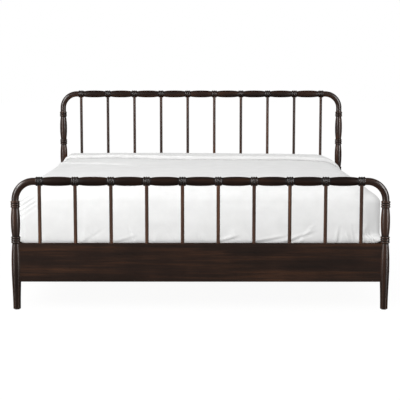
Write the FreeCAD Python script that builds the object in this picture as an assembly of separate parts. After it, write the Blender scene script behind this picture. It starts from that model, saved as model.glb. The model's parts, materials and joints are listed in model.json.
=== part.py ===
"""King-size spindle bed: turned posts and rails with ring collars, bent shoulders, a slatted
base on a centre beam with levelling feet, a split foundation, a mattress and a white cover.

Millimetres. +X is across the bed, +Y runs from the foot end to the head end, +Z is up.
The origin is on the floor under the middle of the bed.
"""

import FreeCAD, Part
import math
import os

from FreeCAD import Vector

# Mattress and the room left for it, which set the size of the frame
MATTRESS_WIDTH = 1930.0
MATTRESS_LENGTH = 2032.0
MATTRESS_HEIGHT = 314.0
SIDE_CLEARANCE = 13.0
END_CLEARANCE = 22.0

# Boards
PANEL_THICKNESS = 25.0
PANEL_HEIGHT = 209.0
PANEL_BOTTOM = 152.0
PANEL_HOUSING = 14.0
RAIL_THICKNESS = 28.0
BOARD_EASE = 3.0

# Turned pattern of the posts and top rails
RING_LENGTH = 37.0
RING_BEADS = 3
BEAD_CREST_RADIUS = 25.0
BEAD_VALLEY_RADIUS = 20.5
SWELL_RADIUS = 24.9
NECK_RADIUS = 19.5
POST_SWELL_POWER = 2.2
RAIL_SWELL_POWER = 2.6
SWELL_POINTS = 9
LEG_BELLY_RADIUS = 24.6
LEG_BELLY_DROP = 68.0
LEG_MIDDLE_RADIUS = 23.9
LEG_FOOT_RADIUS = 20.1
FOOT_SWELL_COUNT = 1
FOOT_SWELL_LENGTH = 154.5
HEAD_SWELL_COUNT = 3
HEAD_SWELL_LENGTH = 161.8

# Bent shoulders between the posts and the top rails
SHOULDER_RADIUS = 19.5
BEND_RADIUS = 100.0
BEND_LEAD = 11.5
FOOT_BEND_RISE = 5.0
HEAD_BEND_RISE = 26.0
TENON_DIAMETER = 16.0
TENON_LENGTH = 36.0

# Spindles
SPINDLE_COUNT = 10
SPINDLE_DIAMETER = 19.0
SPINDLE_SOCKET = 15.0
SPINDLE_TENON_DIAMETER = 10.0
SPINDLE_TENON_LENGTH = 20.0

# Slatted base
LEDGER_WIDTH = 28.0
LEDGER_HEIGHT = 30.0
LEDGER_RAISE = 30.0
LEDGER_END_GAP = 40.0
SLAT_COUNT = 12
SLAT_WIDTH = 80.0
SLAT_THICKNESS = 19.0
SLAT_END_GAP = 3.0
SLAT_FIRST = 110.0
SLAT_EASE = 4.0
BEAM_WIDTH = 45.0
BEAM_HEIGHT = 56.0
BEAM_EASE = 3.0
LEG_SIDE = 45.0
LEG_BOTTOM = 28.0
LEG_OFFSET = 180.0
LEG_EASE = 3.0

# Levelling feet, one under each centre leg
STUD_DIAMETER = 10.0
STUD_TOP = 66.0
STUD_BOTTOM = 3.3
HEX_ACROSS = 17.0
HEX_HEIGHT = 7.0
HEX_BOTTOM = 9.3
PAD_RADIUS = 20.0
PAD_TOP_RADIUS = 13.0
PAD_RIM = 4.0
PAD_HEIGHT = 9.0
PAD_SOCKET_FLOOR = 3.0
INSERT_RADIUS = 6.5
INSERT_LENGTH = 20.0
INSERT_FLANGE_RADIUS = 12.0
INSERT_FLANGE = 1.5
STUD_ROOM = 12.0

# Steel hardware
HOOK_PLATE_WIDTH = 20.0
HOOK_PLATE_HEIGHT = 140.0
HOOK_PLATE_THICKNESS = 3.0
RAIL_SEAT = 18.0
HOOK_THICKNESS = 4.0
HOOK_NECK = 16.0
HOOK_DROP = 10.0
HOOK_LIP = 6.0
HOOK_SPREAD = 70.0
HOOK_MORTISE_WIDTH = 9.0
HOOK_MORTISE_HEIGHT = 110.0
HOOK_MORTISE_DEPTH = 12.0
BRACKET_WALL = 2.5
BRACKET_DEPTH = 40.0
BRACKET_FLANGE = 22.0
HANGER_DIAMETER = 8.0
HANGER_LENGTH = 70.0
SCREW_DIAMETER = 4.0
SCREW_HEAD_DIAMETER = 8.0
SCREW_HEAD_HEIGHT = 2.4
SCREW_POINT = 4.0
HOOK_SCREW_LENGTH = 35.0
HOOK_SCREW_SPREAD = 110.0
RECEIVER_SCREW_LENGTH = 20.0
RECEIVER_SCREW_SPREAD = 124.0
LEDGER_SCREW_LENGTH = 42.0
SLAT_SCREW_LENGTH = 35.0
BRACKET_SCREW_LENGTH = 18.0
GLIDE_RADIUS = 14.0
GLIDE_HEIGHT = 4.0
GLIDE_NAIL_RADIUS = 1.5
GLIDE_NAIL_LENGTH = 18.0

# Bedding
FOUNDATION_HEIGHT = 140.0
FOUNDATION_GAP = 6.0
BEDDING_CORNER = 95.0
BEDDING_BOTTOM_DRAW = 10.0
BEDDING_BELLY_RISE = 60.0
EDGE_INSET = 140.0
EDGE_DROP = 96.0
EDGE_STEPS = 6
SLUMP = 28.0
SLUMP_DROP = 108.0
SLUMP_RUN = 50.0
CROWN_INSET = 420.0
CROWN_RISE = 12.0
COVER_THICKNESS = 4.0
COVER_HEM_DROP = 42.0
TURN_BACK_LENGTH = 560.0
TURN_BACK_RISE = 22.0
TURN_BACK_SIDE = 5.0
TURN_BACK_DROP = 190.0

# Clearances
GLUE_GAP = 0.1
THREAD_GAP = 0.08
SEAT_GAP = 0.15
SOFT_GAP = 0.3

# Sizes that follow from the ones above
POST_SPACING_X = MATTRESS_WIDTH + 2 * SIDE_CLEARANCE + RAIL_THICKNESS
POST_SPACING_Y = MATTRESS_LENGTH + 2 * END_CLEARANCE + PANEL_THICKNESS
SHOULDER_RUN = BEND_RADIUS + BEND_LEAD + RING_LENGTH / 2
SPINDLE_PITCH = (POST_SPACING_X - 2 * SHOULDER_RUN) / (SPINDLE_COUNT - 1)
TOP_RAIL_LENGTH = (SPINDLE_COUNT - 1) * SPINDLE_PITCH + RING_LENGTH
PANEL_TOP = PANEL_BOTTOM + PANEL_HEIGHT
PANEL_MIDDLE = PANEL_BOTTOM + PANEL_HEIGHT / 2
PANEL_END = POST_SPACING_X / 2 - LEG_BELLY_RADIUS + PANEL_HOUSING
RAIL_END = POST_SPACING_Y / 2 - RAIL_SEAT
RAIL_INNER = (POST_SPACING_X - RAIL_THICKNESS) / 2
PANEL_INNER = (POST_SPACING_Y - PANEL_THICKNESS) / 2
LEDGER_TOP = PANEL_BOTTOM + LEDGER_RAISE + LEDGER_HEIGHT
SLAT_TOP = LEDGER_TOP + SLAT_THICKNESS
BEAM_BOTTOM = LEDGER_TOP - BEAM_HEIGHT
BEAM_END = PANEL_INNER - BRACKET_WALL - SEAT_GAP
FOUNDATION_TOP = SLAT_TOP + FOUNDATION_HEIGHT
MATTRESS_BOTTOM = FOUNDATION_TOP + SOFT_GAP
MATTRESS_TOP = MATTRESS_BOTTOM + MATTRESS_HEIGHT
COVER_HEM = MATTRESS_BOTTOM - COVER_HEM_DROP
SOCKET_TOP = BEAD_CREST_RADIUS - SPINDLE_SOCKET


class BedEnd:
    """One end of the bed: where it stands, which way it faces, and how its posts are turned."""

    def __init__(self, name, side, swell_count, swell_length, bend_rise):
        self.name = name
        self.side = side
        self.y = side * POST_SPACING_Y / 2
        self.swell_count = swell_count
        self.swell_length = swell_length
        self.bend_rise = bend_rise
        self.post_top = PANEL_TOP + swell_count * (RING_LENGTH + swell_length) + RING_LENGTH
        self.rail_z = self.post_top + bend_rise + BEND_RADIUS


FOOT = BedEnd("foot", -1, FOOT_SWELL_COUNT, FOOT_SWELL_LENGTH, FOOT_BEND_RISE)
HEAD = BedEnd("head", 1, HEAD_SWELL_COUNT, HEAD_SWELL_LENGTH, HEAD_BEND_RISE)
ENDS = (FOOT, HEAD)
SIDES = (("left", -1), ("right", 1))
LEGS = (("front", -1), ("rear", 1))


# Small shape helpers


def block(x0, x1, y0, y1, z0, z1):
    """A box between two opposite corners, given in any order."""
    low = Vector(min(x0, x1), min(y0, y1), min(z0, z1))
    return Part.makeBox(abs(x1 - x0), abs(y1 - y0), abs(z1 - z0), low)


def rod(radius, start, end):
    """A round bar from one point to another."""
    return Part.makeCylinder(radius, (end - start).Length, start, end - start)


def eased(shape, radius, direction):
    """The shape with its straight edges along one direction rounded."""
    def runs_along(edge):
        step = edge.Vertexes[-1].Point - edge.Vertexes[0].Point
        return step.Length > 0 and math.isclose(abs(step.normalize().dot(direction)), 1)

    return shape.makeFillet(radius, [edge for edge in shape.Edges if runs_along(edge)])


def profile_line(r0, z0, r1, z1):
    return Part.makeLine(Vector(r0, 0, z0), Vector(r1, 0, z1))


def profile_spline(points):
    curve = Part.BSplineCurve()
    curve.interpolate([Vector(r, 0, z) for r, z in points])
    return curve.toShape()


def spun(edges):
    """A solid of revolution about Z from the edges of a closed outline in the XZ plane."""
    return Part.Face(Part.Wire(edges)).revolve(Vector(0, 0, 0), Vector(0, 0, 1), 360)


def screw(tip_length):
    """A countersunk wood screw along -Z, with the top of its head at the origin."""
    shank = SCREW_DIAMETER / 2
    head = SCREW_HEAD_DIAMETER / 2
    corners = (
        (0, 0),
        (head, 0),
        (shank, -SCREW_HEAD_HEIGHT),
        (shank, SCREW_POINT - tip_length),
        (0, -tip_length),
    )
    pairs = zip(corners, corners[1:] + corners[:1])
    return spun([profile_line(*start, *end) for start, end in pairs])


def screw_hole(tip_length):
    """The hole that a screw of this length sits in, wider than it by the glue gap."""
    shank = SCREW_DIAMETER / 2 + GLUE_GAP
    head = SCREW_HEAD_DIAMETER / 2 + GLUE_GAP
    sink = Part.makeCone(head, shank, SCREW_HEAD_HEIGHT, Vector(0, 0, 0), Vector(0, 0, -1))
    return sink.fuse(rod(shank, Vector(0, 0, 0), Vector(0, 0, -tip_length - GLUE_GAP)))


def aimed(shape, point, direction):
    """A copy of a screw-like shape moved to a point, with its tip along a direction."""
    turn = FreeCAD.Rotation(Vector(0, 0, -1), direction)
    copy = shape.copy()
    copy.Placement = FreeCAD.Placement(point, turn)
    return copy


# Where the fasteners sit: (point on the face under the head, direction of the tip)


def hook_screw_seats(end, side):
    """Seats in one side rail's end, under its hook plate."""
    y = end.side * RAIL_END
    heights = (-HOOK_SCREW_SPREAD / 2, 0, HOOK_SCREW_SPREAD / 2)
    x = side * POST_SPACING_X / 2
    return [(Vector(x, y, PANEL_MIDDLE + z), Vector(0, -end.side, 0)) for z in heights]


def receiver_screw_seats(end, side):
    """Seats in one post, under its receiver plate."""
    y = end.side * RAIL_END
    x = side * POST_SPACING_X / 2
    heights = (-RECEIVER_SCREW_SPREAD / 2, RECEIVER_SCREW_SPREAD / 2)
    return [(Vector(x, y, PANEL_MIDDLE + z), Vector(0, end.side, 0)) for z in heights]


def slat_places():
    """The middle of each slat along the bed."""
    reach = PANEL_INNER - SLAT_FIRST
    step = 2 * reach / (SLAT_COUNT - 1)
    return [-reach + i * step for i in range(SLAT_COUNT)]


def ledger_screw_seats(side):
    """Seats along one ledger's inner face, midway between the slats of every other pair."""
    places = slat_places()
    z = LEDGER_TOP - LEDGER_HEIGHT / 2
    x = side * (RAIL_INNER - LEDGER_WIDTH)
    pairs = zip(places[::2], places[1::2])
    return [(Vector(x, (near + far) / 2, z), Vector(side, 0, 0)) for near, far in pairs]


def slat_screw_seats(side):
    """Seats at one end of every slat."""
    x = side * (RAIL_INNER - LEDGER_WIDTH / 2)
    return [(Vector(x, y, SLAT_TOP), Vector(0, 0, -1)) for y in slat_places()]


def bracket_screw_seats(end):
    """Seats in one beam bracket's two flanges."""
    y = end.side * (PANEL_INNER - BRACKET_WALL)
    x = BEAM_WIDTH / 2 + BRACKET_WALL + BRACKET_FLANGE / 2
    heights = (BEAM_BOTTOM + BEAM_HEIGHT / 4, BEAM_BOTTOM + 3 * BEAM_HEIGHT / 4)
    return [(Vector(sx * x, y, z), Vector(0, end.side, 0)) for sx in (-1, 1) for z in heights]


def bored(shape, seats, tip_length):
    """The shape with a screw hole cut at each seat."""
    hole = screw_hole(tip_length)
    return shape.cut([aimed(hole, point, way) for point, way in seats])


def screws_at(seats, tip_length):
    one = screw(tip_length)
    return [aimed(one, point, way) for point, way in seats]


# Turned pieces


def ring_edges(z):
    """The beads of a ring collar whose lower end is at z."""
    bead = RING_LENGTH / RING_BEADS
    edges = []
    for i in range(RING_BEADS):
        low = z + i * bead
        start = Vector(BEAD_VALLEY_RADIUS, 0, low)
        crest = Vector(BEAD_CREST_RADIUS, 0, low + bead / 2)
        end = Vector(BEAD_VALLEY_RADIUS, 0, low + bead)
        edges.append(Part.Arc(start, crest, end).toShape())
    return edges


def swell_edges(z, length, power):
    """A swelling stretch between two ring collars, with the small steps up to them."""
    points = []
    for i in range(SWELL_POINTS):
        share = 2 * i / (SWELL_POINTS - 1) - 1
        radius = SWELL_RADIUS - (SWELL_RADIUS - NECK_RADIUS) * abs(share) ** power
        points.append((radius, z + length * (share + 1) / 2))
    return [
        profile_line(BEAD_VALLEY_RADIUS, z, NECK_RADIUS, z),
        profile_spline(points),
        profile_line(NECK_RADIUS, z + length, BEAD_VALLEY_RADIUS, z + length),
    ]


def leg_edges():
    """The tapered leg of a post, from its foot up to the lowest ring collar."""
    points = (
        (LEG_FOOT_RADIUS, GLIDE_HEIGHT),
        (LEG_MIDDLE_RADIUS, PANEL_BOTTOM),
        (LEG_BELLY_RADIUS, PANEL_TOP - LEG_BELLY_DROP),
        (NECK_RADIUS, PANEL_TOP),
    )
    return [
        profile_line(0, GLIDE_HEIGHT, LEG_FOOT_RADIUS, GLIDE_HEIGHT),
        profile_spline(points),
        profile_line(NECK_RADIUS, PANEL_TOP, BEAD_VALLEY_RADIUS, PANEL_TOP),
    ]


def turned_post(end):
    """A whole post on the Z axis, before it is cut for its joints."""
    edges = leg_edges() + ring_edges(PANEL_TOP)
    z = PANEL_TOP + RING_LENGTH
    for _ in range(end.swell_count):
        edges += swell_edges(z, end.swell_length, POST_SWELL_POWER)
        edges += ring_edges(z + end.swell_length)
        z += end.swell_length + RING_LENGTH
    edges.append(profile_line(BEAD_VALLEY_RADIUS, z, 0, z))
    edges.append(profile_line(0, z, 0, GLIDE_HEIGHT))
    return spun(edges)


def post(end, side):
    """A post with its panel slot, side-rail flat, hook mortise, shoulder bore and nail hole."""
    shape = turned_post(end)
    inward = -end.side
    far = 2 * BEAD_CREST_RADIUS
    half_slot = PANEL_THICKNESS / 2 + SEAT_GAP
    slot_end = LEG_BELLY_RADIUS - PANEL_HOUSING - SEAT_GAP
    slot = block(
        -side * slot_end, -side * far, -half_slot, half_slot,
        PANEL_BOTTOM - SEAT_GAP, PANEL_TOP + SEAT_GAP,
    )
    flat = block(
        -far, far, inward * RAIL_SEAT, inward * far,
        PANEL_BOTTOM - SEAT_GAP, PANEL_TOP + SEAT_GAP,
    )
    plate_back = RAIL_SEAT - HOOK_PLATE_THICKNESS
    half_width = HOOK_PLATE_WIDTH / 2 + SEAT_GAP
    half_height = HOOK_PLATE_HEIGHT / 2 + SEAT_GAP
    recess = block(
        -half_width, half_width, inward * plate_back, inward * far,
        PANEL_MIDDLE - half_height, PANEL_MIDDLE + half_height,
    )
    mortise = block(
        -HOOK_MORTISE_WIDTH / 2, HOOK_MORTISE_WIDTH / 2,
        inward * (plate_back - HOOK_MORTISE_DEPTH), inward * far,
        PANEL_MIDDLE - HOOK_MORTISE_HEIGHT / 2, PANEL_MIDDLE + HOOK_MORTISE_HEIGHT / 2,
    )
    bore = rod(
        TENON_DIAMETER / 2 + GLUE_GAP,
        Vector(0, 0, end.post_top - TENON_LENGTH - GLUE_GAP),
        Vector(0, 0, end.post_top + far),
    )
    nail_top = GLIDE_HEIGHT + GLIDE_NAIL_LENGTH + GLUE_GAP
    nail_hole = rod(GLIDE_NAIL_RADIUS + GLUE_GAP, Vector(0, 0, 0), Vector(0, 0, nail_top))
    shape = shape.cut([slot, flat, recess, mortise, bore, nail_hole])
    shape.translate(Vector(side * POST_SPACING_X / 2, end.y, 0))
    return bored(shape, receiver_screw_seats(end, side), RECEIVER_SCREW_LENGTH)


def spindle_places():
    """The middle of each spindle across the bed."""
    first = -(SPINDLE_COUNT - 1) * SPINDLE_PITCH / 2
    return [first + i * SPINDLE_PITCH for i in range(SPINDLE_COUNT)]


def top_rail(end):
    """A turned rail with a ring collar over every spindle, bored for spindles and shoulders."""
    edges = [profile_line(0, 0, BEAD_VALLEY_RADIUS, 0)]
    swell = SPINDLE_PITCH - RING_LENGTH
    z = 0
    for i in range(SPINDLE_COUNT):
        if i:
            edges += swell_edges(z - swell, swell, RAIL_SWELL_POWER)
        edges += ring_edges(z)
        z += SPINDLE_PITCH
    edges.append(profile_line(BEAD_VALLEY_RADIUS, TOP_RAIL_LENGTH, 0, TOP_RAIL_LENGTH))
    edges.append(profile_line(0, TOP_RAIL_LENGTH, 0, 0))
    shape = spun(edges)
    shape.rotate(Vector(0, 0, 0), Vector(0, 1, 0), 90)
    shape.translate(Vector(-TOP_RAIL_LENGTH / 2, end.y, end.rail_z))
    far = 2 * BEAD_CREST_RADIUS
    cuts = []
    for x in spindle_places():
        top = Vector(x, end.y, end.rail_z - SOCKET_TOP)
        cuts.append(rod(SPINDLE_DIAMETER / 2 + GLUE_GAP, top - Vector(0, 0, far), top))
    for side in (-1, 1):
        mouth = Vector(side * TOP_RAIL_LENGTH / 2, end.y, end.rail_z)
        depth = Vector(side * (TENON_LENGTH + GLUE_GAP), 0, 0)
        cuts.append(rod(TENON_DIAMETER / 2 + GLUE_GAP, mouth - depth, mouth + depth))
    return shape.cut(cuts)


def shoulder(end, side):
    """A bent corner from the top of a post to the end of the top rail, with a tenon at each end."""
    post_x = side * POST_SPACING_X / 2
    low = Vector(post_x, end.y, end.post_top)
    arc_start = low + Vector(0, 0, end.bend_rise)
    centre = arc_start - Vector(side * BEND_RADIUS, 0, 0)
    diagonal = BEND_RADIUS * math.sqrt(0.5)
    arc_middle = centre + Vector(side * diagonal, 0, diagonal)
    arc_end = centre + Vector(0, 0, BEND_RADIUS)
    high = Vector(side * TOP_RAIL_LENGTH / 2, end.y, end.rail_z)
    path = Part.Wire([
        Part.makeLine(low, arc_start),
        Part.Arc(arc_start, arc_middle, arc_end).toShape(),
        Part.makeLine(arc_end, high),
    ])
    ring = Part.Wire(Part.makeCircle(SHOULDER_RADIUS, low, Vector(0, 0, 1)))
    shape = path.makePipeShell([ring], True, False)
    lower_tenon = rod(TENON_DIAMETER / 2, low - Vector(0, 0, TENON_LENGTH), low)
    upper_tenon = rod(TENON_DIAMETER / 2, high, high - Vector(side * TENON_LENGTH, 0, 0))
    return shape.fuse([lower_tenon, upper_tenon])


def spindle(end, x):
    """A plain round spindle from the panel's top edge into the rail's socket."""
    foot = Vector(x, end.y, PANEL_TOP)
    top = Vector(x, end.y, end.rail_z - SOCKET_TOP - GLUE_GAP)
    tenon_end = foot - Vector(0, 0, SPINDLE_TENON_LENGTH)
    shaft = rod(SPINDLE_DIAMETER / 2, foot, top)
    return shaft.fuse(rod(SPINDLE_TENON_DIAMETER / 2, tenon_end, foot))


# Boards


def panel(end):
    """The wide board low down between two posts, bored for spindles and bracket screws."""
    half = PANEL_THICKNESS / 2
    shape = block(-PANEL_END, PANEL_END, end.y - half, end.y + half, PANEL_BOTTOM, PANEL_TOP)
    shape = eased(shape, BOARD_EASE, Vector(1, 0, 0))
    tenon_radius = SPINDLE_TENON_DIAMETER / 2 + GLUE_GAP
    depth = Vector(0, 0, SPINDLE_TENON_LENGTH + GLUE_GAP)
    cuts = []
    for x in spindle_places():
        mouth = Vector(x, end.y, PANEL_TOP)
        cuts.append(rod(tenon_radius, mouth - depth, mouth + depth))
    return bored(shape.cut(cuts), bracket_screw_seats(end), BRACKET_SCREW_LENGTH)


def side_rail(side):
    """A long board on edge, recessed at both ends for its hook plates."""
    middle = side * POST_SPACING_X / 2
    half = RAIL_THICKNESS / 2
    shape = block(
        middle - half, middle + half, -RAIL_END, RAIL_END, PANEL_BOTTOM, PANEL_TOP
    )
    shape = eased(shape, BOARD_EASE, Vector(0, 1, 0))
    half_width = HOOK_PLATE_WIDTH / 2 + SEAT_GAP
    half_height = HOOK_PLATE_HEIGHT / 2 + SEAT_GAP
    for end in ENDS:
        back = end.side * (RAIL_END - HOOK_PLATE_THICKNESS)
        recess = block(
            middle - half_width, middle + half_width, back, end.side * POST_SPACING_Y,
            PANEL_MIDDLE - half_height, PANEL_MIDDLE + half_height,
        )
        shape = bored(shape.cut(recess), hook_screw_seats(end, side), HOOK_SCREW_LENGTH)
    return bored(shape, ledger_screw_seats(side), LEDGER_SCREW_LENGTH)


def ledger(side):
    """The strip inside a side rail that the slats lie on."""
    reach = RAIL_END - LEDGER_END_GAP
    shape = block(
        side * (RAIL_INNER - LEDGER_WIDTH), side * RAIL_INNER, -reach, reach,
        LEDGER_TOP - LEDGER_HEIGHT, LEDGER_TOP,
    )
    shape = bored(shape, ledger_screw_seats(side), LEDGER_SCREW_LENGTH)
    return bored(shape, slat_screw_seats(side), SLAT_SCREW_LENGTH)


def slats():
    """Boards across the bed from one ledger to the other, over the centre beam."""
    reach = RAIL_INNER - SLAT_END_GAP
    boards = []
    for place in slat_places():
        board = block(
            -reach, reach, place - SLAT_WIDTH / 2, place + SLAT_WIDTH / 2, LEDGER_TOP, SLAT_TOP
        )
        board = eased(board, SLAT_EASE, Vector(1, 0, 0))
        seats = [
            seat for _, side in SIDES for seat in slat_screw_seats(side) if seat[0].y == place
        ]
        boards.append(bored(board, seats, SLAT_SCREW_LENGTH))
    return boards


def centre_beam():
    """The beam down the middle under the slats, bored for the legs' hanger bolts."""
    half = BEAM_WIDTH / 2
    shape = block(-half, half, -BEAM_END, BEAM_END, BEAM_BOTTOM, LEDGER_TOP)
    shape = eased(shape, BEAM_EASE, Vector(0, 1, 0))
    return shape.cut([hanger_bolt(place * LEG_OFFSET, GLUE_GAP) for _, place in LEGS])


def centre_leg(place):
    """A square leg under the beam, bored for its hanger bolt and levelling foot."""
    half = LEG_SIDE / 2
    y = place * LEG_OFFSET
    shape = block(-half, half, y - half, y + half, LEG_BOTTOM, BEAM_BOTTOM)
    shape = eased(shape, LEG_EASE, Vector(0, 0, 1))
    bottom = Vector(0, y, LEG_BOTTOM)
    barrel = rod(INSERT_RADIUS + GLUE_GAP, bottom, bottom + Vector(0, 0, INSERT_LENGTH + GLUE_GAP))
    stud_room = rod(
        STUD_DIAMETER / 2 + GLUE_GAP, bottom, Vector(0, y, STUD_TOP + STUD_ROOM)
    )
    return shape.cut([hanger_bolt(y, GLUE_GAP), barrel, stud_room])


# Hardware


def hook_plate(end, side):
    """A plate let into a side rail's end, with two hooks that drop behind the receiver plate."""
    x = side * POST_SPACING_X / 2
    face = RAIL_END
    back = end.side * (face - HOOK_PLATE_THICKNESS)
    shape = block(
        x - HOOK_PLATE_WIDTH / 2, x + HOOK_PLATE_WIDTH / 2, back, end.side * face,
        PANEL_MIDDLE - HOOK_PLATE_HEIGHT / 2, PANEL_MIDDLE + HOOK_PLATE_HEIGHT / 2,
    )
    behind = face + HOOK_PLATE_THICKNESS + SOFT_GAP
    for z in (PANEL_MIDDLE - HOOK_SPREAD / 2, PANEL_MIDDLE + HOOK_SPREAD / 2):
        neck = block(
            x - HOOK_THICKNESS / 2, x + HOOK_THICKNESS / 2,
            end.side * face, end.side * (behind + HOOK_LIP), z, z + HOOK_NECK,
        )
        lip = block(
            x - HOOK_THICKNESS / 2, x + HOOK_THICKNESS / 2,
            end.side * behind, end.side * (behind + HOOK_LIP), z - HOOK_DROP, z + HOOK_NECK,
        )
        shape = shape.fuse([neck, lip])
    return bored(shape.removeSplitter(), hook_screw_seats(end, side), HOOK_SCREW_LENGTH)


def receiver_plate(end, side):
    """A slotted plate let into a post's flat, which the hooks hang in."""
    x = side * POST_SPACING_X / 2
    face = end.side * RAIL_END
    back = end.side * (RAIL_END + HOOK_PLATE_THICKNESS)
    shape = block(
        x - HOOK_PLATE_WIDTH / 2, x + HOOK_PLATE_WIDTH / 2, face, back,
        PANEL_MIDDLE - HOOK_PLATE_HEIGHT / 2, PANEL_MIDDLE + HOOK_PLATE_HEIGHT / 2,
    )
    half_slot = HOOK_THICKNESS / 2 + SOFT_GAP
    for z in (PANEL_MIDDLE - HOOK_SPREAD / 2, PANEL_MIDDLE + HOOK_SPREAD / 2):
        slot = block(
            x - half_slot, x + half_slot, face, back, z, z + HOOK_NECK + HOOK_DROP + SOFT_GAP
        )
        shape = shape.cut(slot)
    return bored(shape, receiver_screw_seats(end, side), RECEIVER_SCREW_LENGTH)


def beam_bracket(end):
    """A folded steel hanger on a panel's inner face that carries one end of the beam."""
    inner = BEAM_WIDTH / 2 + SEAT_GAP
    outer = inner + BRACKET_WALL
    back = end.side * PANEL_INNER
    front = end.side * (PANEL_INNER - BRACKET_DEPTH)
    plate_front = end.side * (PANEL_INNER - BRACKET_WALL)
    floor_top = BEAM_BOTTOM - SEAT_GAP
    floor_bottom = floor_top - BRACKET_WALL
    plate = block(
        -outer - BRACKET_FLANGE, outer + BRACKET_FLANGE, back, plate_front, floor_bottom, LEDGER_TOP
    )
    floor = block(-outer, outer, back, front, floor_bottom, floor_top)
    cheeks = [
        block(side * inner, side * outer, back, front, floor_bottom, LEDGER_TOP)
        for _, side in SIDES
    ]
    shape = plate.fuse([floor] + cheeks).removeSplitter()
    return bored(shape, bracket_screw_seats(end), BRACKET_SCREW_LENGTH)


def hanger_bolt(y, gap=0.0):
    """The bolt between the beam and one leg, or its hole when a gap is given."""
    half = HANGER_LENGTH / 2 + gap
    middle = Vector(0, y, BEAM_BOTTOM)
    reach = Vector(0, 0, half)
    return rod(HANGER_DIAMETER / 2 + gap, middle - reach, middle + reach)


def leveller_insert(y):
    """A threaded insert pressed into the bottom of a leg, with its flange under the leg."""
    bottom = Vector(0, y, LEG_BOTTOM)
    up = Vector(0, 0, 1)
    barrel = rod(INSERT_RADIUS, bottom, bottom + up * INSERT_LENGTH)
    flange = rod(INSERT_FLANGE_RADIUS, bottom - up * INSERT_FLANGE, bottom)
    far = Vector(0, 0, INSERT_LENGTH + INSERT_FLANGE)
    thread = rod(STUD_DIAMETER / 2 + THREAD_GAP, bottom - far, bottom + far)
    return barrel.fuse(flange).cut(thread)


def leveller_stud(y):
    """The screw of a levelling foot, with the hexagon that a spanner turns."""
    stud = rod(STUD_DIAMETER / 2, Vector(0, y, STUD_BOTTOM), Vector(0, y, STUD_TOP))
    corner = HEX_ACROSS / math.sqrt(3)
    corners = [
        Vector(corner * math.cos(turn), y + corner * math.sin(turn), HEX_BOTTOM)
        for turn in [i * math.pi / 3 for i in range(7)]
    ]
    collar = Part.Face(Part.makePolygon(corners)).extrude(Vector(0, 0, HEX_HEIGHT))
    return stud.fuse(collar)


def leveller_pad(y):
    """The round nylon foot that stays still on the floor while the screw turns in it."""
    corners = (
        (0, 0),
        (PAD_RADIUS, 0),
        (PAD_RADIUS, PAD_RIM),
        (PAD_TOP_RADIUS, PAD_HEIGHT),
        (STUD_DIAMETER / 2 + THREAD_GAP, PAD_HEIGHT),
        (STUD_DIAMETER / 2 + THREAD_GAP, PAD_SOCKET_FLOOR),
        (0, PAD_SOCKET_FLOOR),
    )
    pairs = zip(corners, corners[1:] + corners[:1])
    shape = spun([profile_line(*start, *end) for start, end in pairs])
    shape.translate(Vector(0, y, 0))
    return shape


def post_glide(end, side):
    """A nylon glide nailed under a post."""
    base = Vector(side * POST_SPACING_X / 2, end.y, 0)
    up = Vector(0, 0, 1)
    disc = rod(GLIDE_RADIUS, base, base + up * GLIDE_HEIGHT)
    nail = rod(GLIDE_NAIL_RADIUS, base, base + up * (GLIDE_HEIGHT + GLIDE_NAIL_LENGTH))
    return disc.fuse(nail)


# Bedding


def rounded_rectangle(half_x, half_y, radius, z, right_draw=0.0):
    """A closed wire of four lines and four quarter arcs, with its right side drawn in."""
    left, right = radius - half_x, half_x - radius - right_draw
    front, back = radius - half_y, half_y - radius
    corners = ((right, back, 0), (left, back, 90), (left, front, 180), (right, front, 270))

    def on_arc(corner, degrees):
        turn = math.radians(corner[2] + degrees)
        return Vector(corner[0] + radius * math.cos(turn), corner[1] + radius * math.sin(turn), z)

    edges = []
    for corner, following in zip(corners, corners[1:] + corners[:1]):
        arc = Part.Arc(on_arc(corner, 0), on_arc(corner, 45), on_arc(corner, 90))
        edges.append(arc.toShape())
        edges.append(Part.makeLine(on_arc(corner, 90), on_arc(following, 0)))
    return Part.Wire(edges)


def bedding_levels(offset, bottom, rise):
    """(inset, height) pairs up the side, round the soft top edge and up to the crown."""
    edge_top = MATTRESS_TOP - CROWN_RISE + rise
    levels = [
        (BEDDING_BOTTOM_DRAW - offset, bottom),
        (-offset, max(bottom, MATTRESS_BOTTOM) + BEDDING_BELLY_RISE),
    ]
    for i in range(EDGE_STEPS + 1):
        turn = math.pi / 2 * i / EDGE_STEPS
        inset = EDGE_INSET * (1 - math.cos(turn)) - offset
        levels.append((inset, edge_top - EDGE_DROP * (1 - math.sin(turn))))
    levels.append((CROWN_INSET, MATTRESS_TOP + rise))
    return levels


def slump(z, rise):
    """How far the bedding's soft right edge has sunk inward at a height."""
    start = MATTRESS_TOP - CROWN_RISE + rise - SLUMP_DROP
    return SLUMP * min(max((z - start) / SLUMP_RUN, 0.0), 1.0)


def bedding_form(offset, bottom, rise):
    """A crowned, soft-edged block the size of the mattress, grown outward and raised."""
    sections = [
        rounded_rectangle(
            MATTRESS_WIDTH / 2 - inset, MATTRESS_LENGTH / 2 - inset, BEDDING_CORNER, z, slump(z, rise)
        )
        for inset, z in bedding_levels(offset, bottom, rise)
    ]
    return Part.makeLoft(sections, True, True)


def foundation(side):
    """One half of the split foundation, a flat upholstered box on the slats."""
    half_x = MATTRESS_WIDTH / 2 - BEDDING_BOTTOM_DRAW
    half_y = MATTRESS_LENGTH / 2 - BEDDING_BOTTOM_DRAW
    outline = rounded_rectangle(half_x, half_y, BEDDING_CORNER, SLAT_TOP)
    whole = Part.Face(outline).extrude(Vector(0, 0, FOUNDATION_HEIGHT))
    inner = side * FOUNDATION_GAP / 2
    return whole.common(block(inner, side * half_x, -half_y, half_y, SLAT_TOP, FOUNDATION_TOP))


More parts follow.
